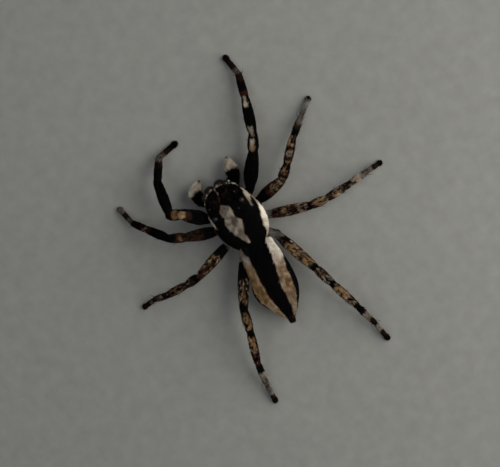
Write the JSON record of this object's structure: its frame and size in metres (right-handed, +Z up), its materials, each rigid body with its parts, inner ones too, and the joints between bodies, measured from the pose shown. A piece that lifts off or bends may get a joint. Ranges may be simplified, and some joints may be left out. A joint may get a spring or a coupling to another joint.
{
  "type": "jumping spider, still life-size model",
  "caption": "Still, life-size model of a male jumping spider (gray wall jumper) standing with one front leg raised and hooked, striped abdomen and white-edged carapace.",
  "frame": {"origin": "on the floor, centred under the box round the whole animal", "axes": "+Z up; the head looks along -Y, so the spider's right is -X"},
  "size_m": [0.0148, 0.0168, 0.0025],
  "materials": {
    "carapace_coat": "short black hair over black shell, with white and tan hair bands",
    "abdomen_coat": "short flat hair, two cream to tan stripes beside a black band",
    "front_leg_coat": "black hair with a few pale spots at the joints",
    "leg_coat": "mottled brown, tan and black hair with pale rings",
    "palp_coat": "whitish hair",
    "cuticle": "dark brown bare shell, satin",
    "eye": "black glassy lens"
  },
  "bodies": {
    "root": {"carapace": "carapace_coat", "sternum": "cuticle", "mouthparts": "cuticle", "pedicel": "cuticle", "abdomen": "abdomen_coat", "spinnerets": "carapace_coat", "chelicera_right": "cuticle", "palp_right_stem": "front_leg_coat", "palp_right_tip": "palp_coat", "eye_anterior_median_right": "eye", "eye_anterior_lateral_right": "eye", "eye_posterior_median_right": "eye", "eye_posterior_lateral_right": "eye", "leg_1_right_femur": "front_leg_coat", "leg_1_right_patella": "front_leg_coat", "leg_1_right_tibia": "front_leg_coat", "leg_1_right_metatarsus": "front_leg_coat", "leg_1_right_tarsus": "front_leg_coat", "leg_2_right_femur": "leg_coat", "leg_2_right_patella": "leg_coat", "leg_2_right_tibia": "leg_coat", "leg_2_right_metatarsus": "leg_coat", "leg_2_right_tarsus": "leg_coat", "leg_3_right_femur": "leg_coat", "leg_3_right_patella": "leg_coat", "leg_3_right_tibia": "leg_coat", "leg_3_right_metatarsus": "leg_coat", "leg_3_right_tarsus": "leg_coat", "leg_4_right_femur": "leg_coat", "leg_4_right_patella": "leg_coat", "leg_4_right_tibia": "leg_coat", "leg_4_right_metatarsus": "leg_coat", "leg_4_right_tarsus": "leg_coat", "chelicera_left": "cuticle", "palp_left_stem": "front_leg_coat", "palp_left_tip": "palp_coat", "eye_anterior_median_left": "eye", "eye_anterior_lateral_left": "eye", "eye_posterior_median_left": "eye", "eye_posterior_lateral_left": "eye", "leg_1_left_femur": "front_leg_coat", "leg_1_left_patella": "front_leg_coat", "leg_1_left_tibia": "front_leg_coat", "leg_1_left_metatarsus": "front_leg_coat", "leg_1_left_tarsus": "front_leg_coat", "leg_2_left_femur": "leg_coat", "leg_2_left_patella": "leg_coat", "leg_2_left_tibia": "leg_coat", "leg_2_left_metatarsus": "leg_coat", "leg_2_left_tarsus": "leg_coat", "leg_3_left_femur": "leg_coat", "leg_3_left_patella": "leg_coat", "leg_3_left_tibia": "leg_coat", "leg_3_left_metatarsus": "leg_coat", "leg_3_left_tarsus": "leg_coat", "leg_4_left_femur": "leg_coat", "leg_4_left_patella": "leg_coat", "leg_4_left_tibia": "leg_coat", "leg_4_left_metatarsus": "leg_coat", "leg_4_left_tarsus": "leg_coat"}
  },
  "joints": []
}
